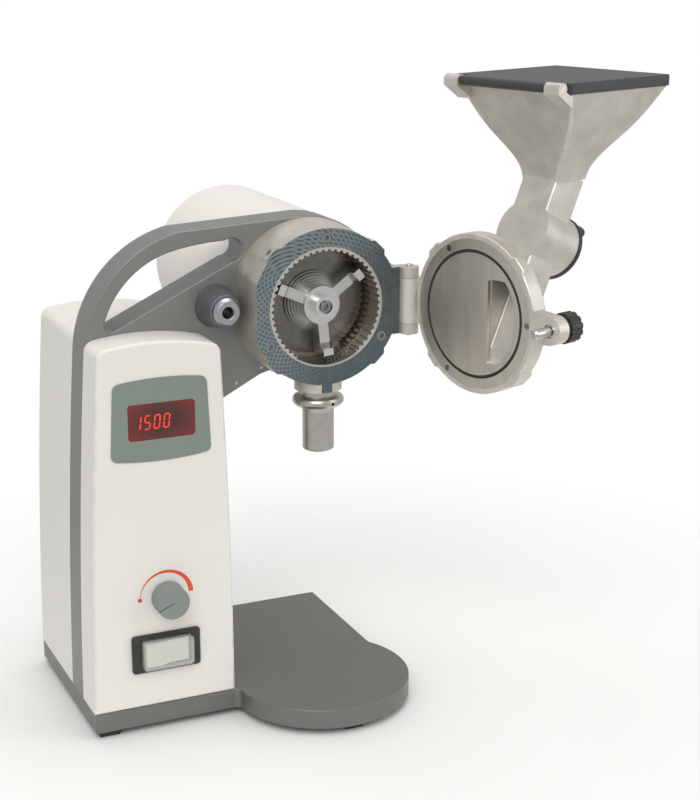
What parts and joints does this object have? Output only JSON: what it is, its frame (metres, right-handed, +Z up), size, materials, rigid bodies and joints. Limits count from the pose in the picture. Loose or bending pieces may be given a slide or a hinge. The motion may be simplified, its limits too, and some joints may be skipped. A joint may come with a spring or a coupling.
{
  "type": "analytical lab mill",
  "caption": "Bench rotor mill on a loop-handled stand plate: toothed chamber, sieve and outlet tube, hinged door with feed hopper, and a control housing.",
  "frame": {"origin": "on the table, under the middle of the whole object's box with the door at rest, standing open", "axes": "+X to the right of someone facing the mill, -Y towards that person, +Z up"},
  "size_m": [0.4514, 0.411, 0.5445],
  "materials": {
    "stand_paint": "grey anodised",
    "base_paint": "grey anodised",
    "boss_paint": "grey anodised",
    "housing_plastic": "satin",
    "panel_foil": "matt foil",
    "display_glass": "clear red tinted",
    "circuit_board": "satin",
    "black_plastic": "satin",
    "fan_plastic": "satin",
    "knob_plastic": "satin",
    "rocker_plastic": "gloss",
    "clear_cover": "clear",
    "rubber": "matt",
    "seal_rubber": "matt",
    "cast_metal": "cast, blasted",
    "lid_plastic": "satin",
    "machined_steel": "turned",
    "polished_steel": "polished",
    "tool_steel": "ground",
    "zinc_screws": "zinc plated",
    "motor_paint": "satin",
    "shield_aluminium": "cast",
    "core_steel": "laminated",
    "winding_copper": "enamelled",
    "brush_carbon": "pressed carbon"
  },
  "bodies": {
    "stand": {"base_plate": "base_paint", "bearings": "zinc_screws", "carbon_brushes": "brush_carbon", "chamber_housing": "cast_metal", "chamber_screws": "zinc_screws", "clamp_boss": "boss_paint", "clamp_insert": "machined_steel", "control_board": "circuit_board", "display_board": "circuit_board", "display_panel": "panel_foil", "display_window": "display_glass", "field_coils": "winding_copper", "front_housing": "housing_plastic", "front_shield": "shield_aluminium", "fuse_holder": "black_plastic", "grinding_insert": "tool_steel", "hinge_pin": "machined_steel", "housing_screws": "zinc_screws", "insert_lock_screw": "machined_steel", "mains_inlet": "black_plastic", "motor_housing": "motor_paint", "motor_screws": "zinc_screws", "outlet_spigot": "polished_steel", "plate_pins": "machined_steel", "potentiometer": "black_plastic", "power_module": "black_plastic", "rear_housing": "housing_plastic", "rear_shield": "shield_aluminium", "rubber_feet": "rubber", "shaft_seal": "seal_rubber", "sieve": "polished_steel", "stand_plate": "stand_paint", "stand_screws": "zinc_screws", "stator_core": "core_steel", "switch_body": "black_plastic", "switch_cover": "clear_cover", "switch_frame": "black_plastic"},
    "rotor": {"motor_shaft": "machined_steel", "armature": "core_steel", "commutator": "winding_copper", "cooling_fan": "fan_plastic", "grinding_rotor": "polished_steel", "rotor_screw": "polished_steel"},
    "door": {"door_casting": "cast_metal", "door_disc": "polished_steel", "door_seal": "seal_rubber", "disc_screws": "zinc_screws", "feed_hopper": "cast_metal", "lid_pin": "machined_steel"},
    "lid": {"hopper_lid": "lid_plastic"},
    "dosing": {"dosing_drum": "black_plastic", "dosing_knob": "black_plastic"},
    "collar": {"clamp_ring": "machined_steel"},
    "clamp": {"clamp_screw": "machined_steel", "clamp_knob": "black_plastic"},
    "speed": {"speed_knob": "knob_plastic", "knob_shaft": "machined_steel"},
    "rocker": {"switch_rocker": "rocker_plastic"}
  },
  "joints": [
    {"name": "rotor_spin", "type": "hinge", "parent": "stand", "child": "rotor", "pos_m": [-0.0173, 0.0005, 0.3533], "axis": [0, 1, 0], "continuous": true},
    {"name": "door_swing", "type": "hinge", "parent": "stand", "child": "door", "pos_m": [0.058, -0.0435, 0.3533], "axis": [0, 0, 1], "range_deg": [-107.65, 42.35]},
    {"name": "lid_swing", "type": "hinge", "parent": "door", "child": "lid", "pos_m": [0.08587, -0.14692, 0.5399], "axis": [0.3032, -0.9529, 0], "range_deg": [0, 110]},
    {"name": "dosing_turn", "type": "hinge", "parent": "door", "child": "dosing", "pos_m": [0.10998, -0.13925, 0.42433], "axis": [0.8535, 0.2716, -0.4446], "range_deg": [0, 90]},
    {"name": "clamp_travel", "type": "slide", "parent": "door", "child": "collar", "axis": [0.9529, 0.3032, 0], "range_m": [0, 0.00626]},
    {"name": "clamp_turn", "type": "hinge", "parent": "collar", "child": "clamp", "pos_m": [0.10551, -0.19282, 0.3533], "axis": [0.9529, 0.3032, 0], "range_deg": [0, 1800]},
    {"name": "speed_turn", "type": "hinge", "parent": "stand", "child": "speed", "pos_m": [-0.1603, 0.0005, 0.119], "axis": [0, 1, 0], "range_deg": [0, 220]},
    {"name": "rocker_tilt", "type": "hinge", "parent": "stand", "child": "rocker", "pos_m": [-0.1629, -0.0345, 0.0712], "axis": [0, 0, -1], "range_deg": [0, 12]}
  ],
  "couplings": [
    {"joint": "clamp_travel", "follows": "clamp_turn", "m_per_rad": 0.00019894}
  ]
}
